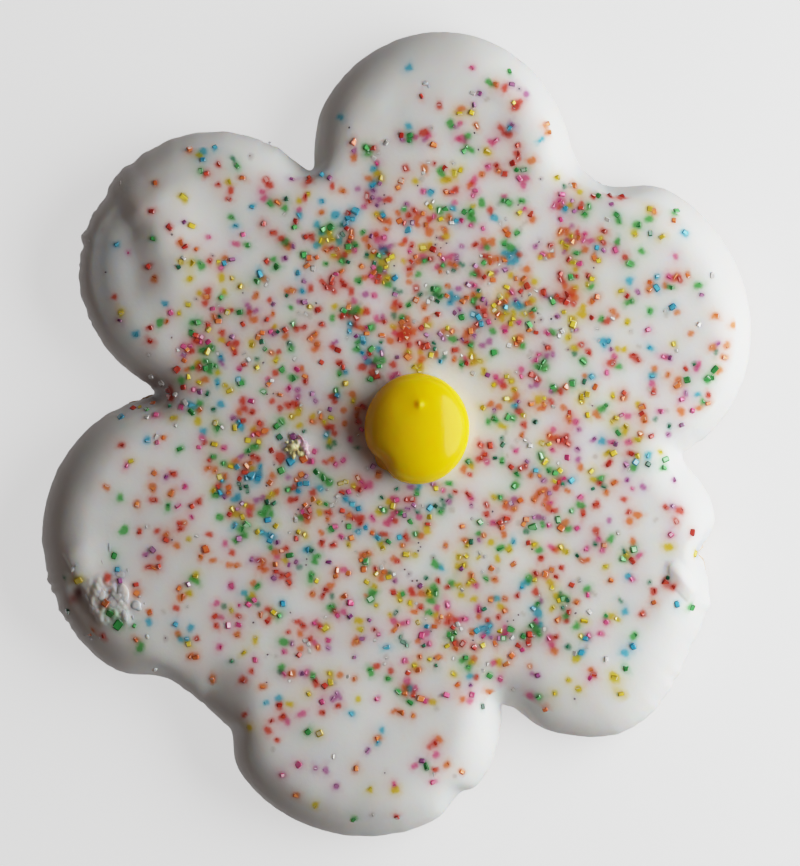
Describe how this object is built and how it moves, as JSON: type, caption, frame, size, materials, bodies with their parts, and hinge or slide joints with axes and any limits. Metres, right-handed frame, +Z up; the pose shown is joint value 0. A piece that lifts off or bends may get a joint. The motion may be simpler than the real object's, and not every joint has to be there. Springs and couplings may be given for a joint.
{
  "type": "iced sugar cookie",
  "caption": "Flower-shaped sugar cookie with rounded white icing over its top and sides, coloured sugar crystals in the icing and a yellow sugar drop in the middle.",
  "frame": {"origin": "under the middle of the cookie's outline, on the surface it lies on", "axes": "+Z up through the icing, +Y towards the petal that points up in the picture, +X to the right of the picture"},
  "size_m": [0.0884, 0.1004, 0.0146],
  "materials": {
    "baked_biscuit": "dry, fine-crumbed baked dough, browned at the rim",
    "white_icing": "satin off-white set icing with coloured sugar crystals sunk in it",
    "yellow_sugar": "glossy smooth yellow sugar"
  },
  "bodies": {
    "root": {"biscuit": "baked_biscuit", "icing": "white_icing", "drop": "yellow_sugar"}
  },
  "joints": []
}
